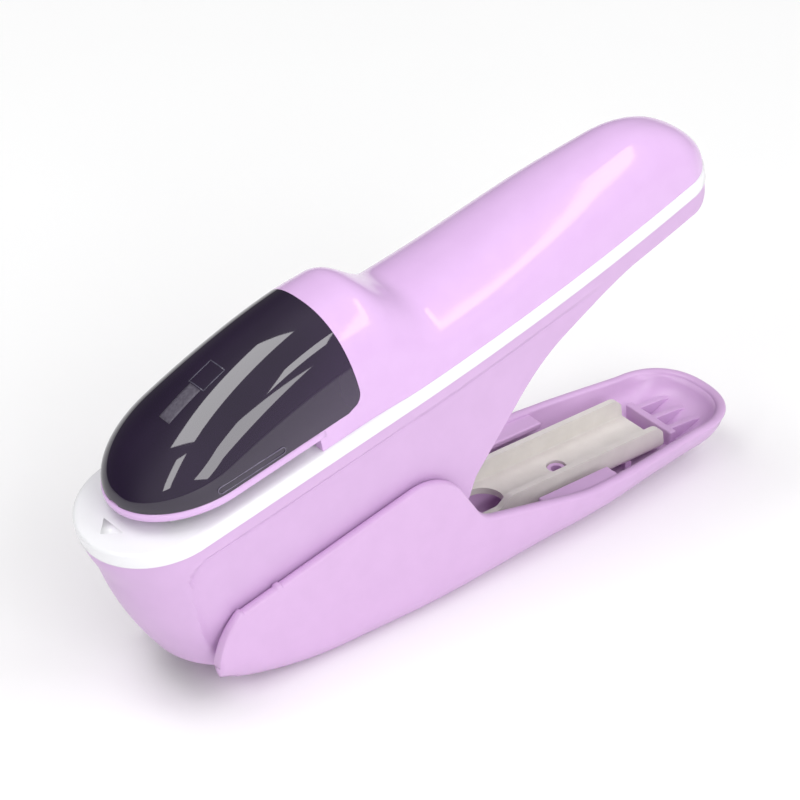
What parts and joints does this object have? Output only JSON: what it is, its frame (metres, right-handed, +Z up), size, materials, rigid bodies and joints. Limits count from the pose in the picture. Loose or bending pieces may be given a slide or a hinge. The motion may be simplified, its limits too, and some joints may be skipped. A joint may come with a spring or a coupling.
{
  "type": "staple-free stapler",
  "caption": "One-hand squeeze tool that joins a few sheets without staples, with a pink shell, a dark sight window, a white paper table and a pink squeeze lever",
  "frame": {"origin": "middle of the bounding box on its bottom face, where the lever's underside rests", "axes": "+X from the paper nose to the tail, +Y to the right when looking from the tail toward the nose, +Z up"},
  "size_m": [0.1104, 0.0236, 0.0577],
  "materials": {
    "shell": "gloss",
    "housing": "satin",
    "lever": "gloss",
    "window": "gloss",
    "table": "gloss",
    "channel": "satin",
    "dark_moulding": "matte",
    "cast": "satin",
    "brass": "satin",
    "plated": "satin",
    "spring_steel": "satin",
    "blade_steel": "polished"
  },
  "bodies": {
    "lever_body": {"squeeze_lever": "lever", "lever_channel": "channel", "drive_pin": "blade_steel", "drive_sleeve": "brass", "return_spring": "spring_steel"},
    "housing_body": {"upper_shell": "shell", "sight_window": "window", "paper_table": "table", "paper_stop_pins": "table", "lower_housing": "housing", "lever_pivot_pin": "blade_steel", "mechanism_frame": "plated", "rocker_pivot_pin": "blade_steel", "retaining_clips": "spring_steel", "die_plate": "plated", "die_screws": "blade_steel", "spring_pad": "dark_moulding", "frame_screws": "blade_steel", "housing_screws": "blade_steel"},
    "rocker_body": {"lift_rocker": "plated"},
    "carriage_body": {"blade_carriage": "dark_moulding", "carriage_pins": "blade_steel", "punch_blade": "blade_steel", "slit_blade": "blade_steel", "blade_rivet": "blade_steel", "pusher_pin": "blade_steel"},
    "pusher_body": {"tongue_pusher": "cast"}
  },
  "joints": [
    {"name": "lever_squeeze", "type": "hinge", "parent": "lever_body", "child": "housing_body", "pos_m": [-0.0325, 0, 0.0074], "axis": [0, 1, 0], "range_deg": [0, 18], "stiffness_Nm_per_rad": 0.12, "springref_deg": -25.78, "deforming": ["return_spring"]},
    {"name": "rocker_swing", "type": "hinge", "parent": "housing_body", "child": "rocker_body", "pos_m": [-0.00112, 0, 0.02337], "axis": [0, 1, 0], "range_deg": [-0.2, 14.6]},
    {"name": "carriage_lift", "type": "slide", "parent": "housing_body", "child": "carriage_body", "axis": [-0.2079, 0, 0.9781], "range_m": [-0.0001, 0.0081]},
    {"name": "pusher_swing", "type": "hinge", "parent": "carriage_body", "child": "pusher_body", "pos_m": [-0.03615, 0, 0.01746], "axis": [0, 1, 0], "range_deg": [-0.2, 20.2]}
  ],
  "couplings": [
    {"joint": "rocker_swing", "follows": "lever_squeeze", "ratio": 0.8},
    {"joint": "carriage_lift", "follows": "lever_squeeze", "m_per_rad": 0.025465},
    {"joint": "pusher_swing", "follows": "lever_squeeze", "ratio": 1.1111}
  ]
}
